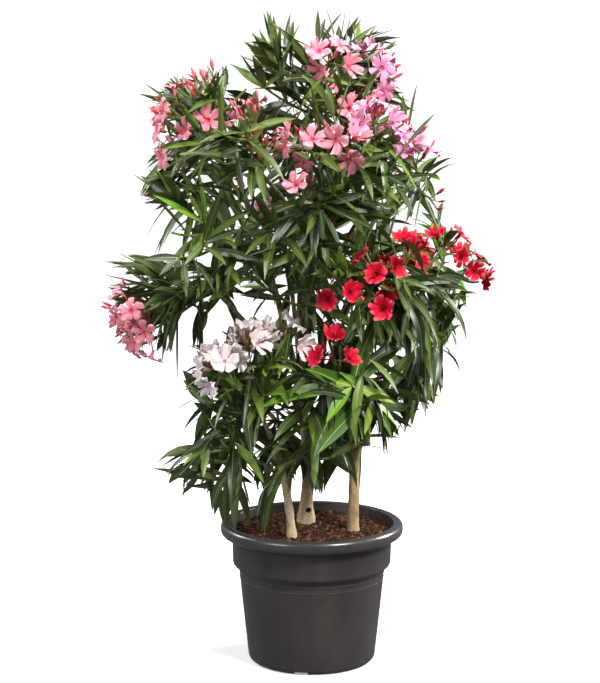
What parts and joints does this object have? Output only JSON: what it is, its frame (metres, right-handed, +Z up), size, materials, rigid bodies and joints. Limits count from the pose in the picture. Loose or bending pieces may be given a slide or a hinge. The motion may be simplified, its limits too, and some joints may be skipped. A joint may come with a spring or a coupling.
{
  "type": "potted oleander",
  "caption": "Tall leafy flowering shrub with whorled narrow leaves and clustered five-petalled blooms, growing as slender stems in a round nursery pot.",
  "frame": {"origin": "middle of the flat pad under the pot, on the surface that it stands on", "axes": "+Z up the plant, -Y towards the front of the crown, +X to its right seen from the front"},
  "size_m": [0.6991, 0.577, 1.2049],
  "materials": {
    "pot": "satin moulded plastic",
    "soil": "crumbly damp peat",
    "bark": "thin fissured bark",
    "foliage_pink": "leathery leaves with pink blooms",
    "foliage_red": "leathery leaves with crimson blooms",
    "foliage_white": "leathery leaves with blush-white blooms"
  },
  "bodies": {
    "root": {"pot": "pot", "soil": "soil", "stem_left": "bark", "stem_middle": "bark", "stem_right": "bark", "bough_leader": "bark", "bough_left": "bark", "bough_left_arm": "bark", "bough_centre": "bark", "bough_buds": "bark", "bough_upper_right": "bark", "bough_far_right": "bark", "bough_centre_up": "bark", "bough_mid_left": "bark", "bough_back_top": "bark", "bough_back_left": "bark", "bough_back_middle": "bark", "bough_low_back": "bark", "bough_right_front": "bark", "bough_right_side": "bark", "bough_right_low": "bark", "bough_low_right": "bark", "bough_back_right": "bark", "bough_low_back_right": "bark", "bough_white": "bark", "bough_low_left": "bark", "bough_low_centre": "bark", "foliage_top": "foliage_pink", "foliage_upper_left": "foliage_pink", "foliage_buds": "foliage_pink", "foliage_upper_right": "foliage_pink", "foliage_far_right": "foliage_pink", "foliage_mid_left": "foliage_pink", "foliage_left_arm": "foliage_pink", "foliage_centre_up": "foliage_pink", "foliage_centre": "foliage_pink", "foliage_right_front": "foliage_red", "foliage_right_side": "foliage_red", "foliage_right_low": "foliage_red", "foliage_low_right": "foliage_red", "foliage_white": "foliage_white", "foliage_low_left": "foliage_white", "foliage_low_centre": "foliage_white", "foliage_back_top": "foliage_pink", "foliage_back_left": "foliage_pink", "foliage_back_middle": "foliage_pink", "foliage_back_right": "foliage_red", "foliage_low_back": "foliage_white", "foliage_low_back_right": "foliage_red"}
  },
  "joints": []
}
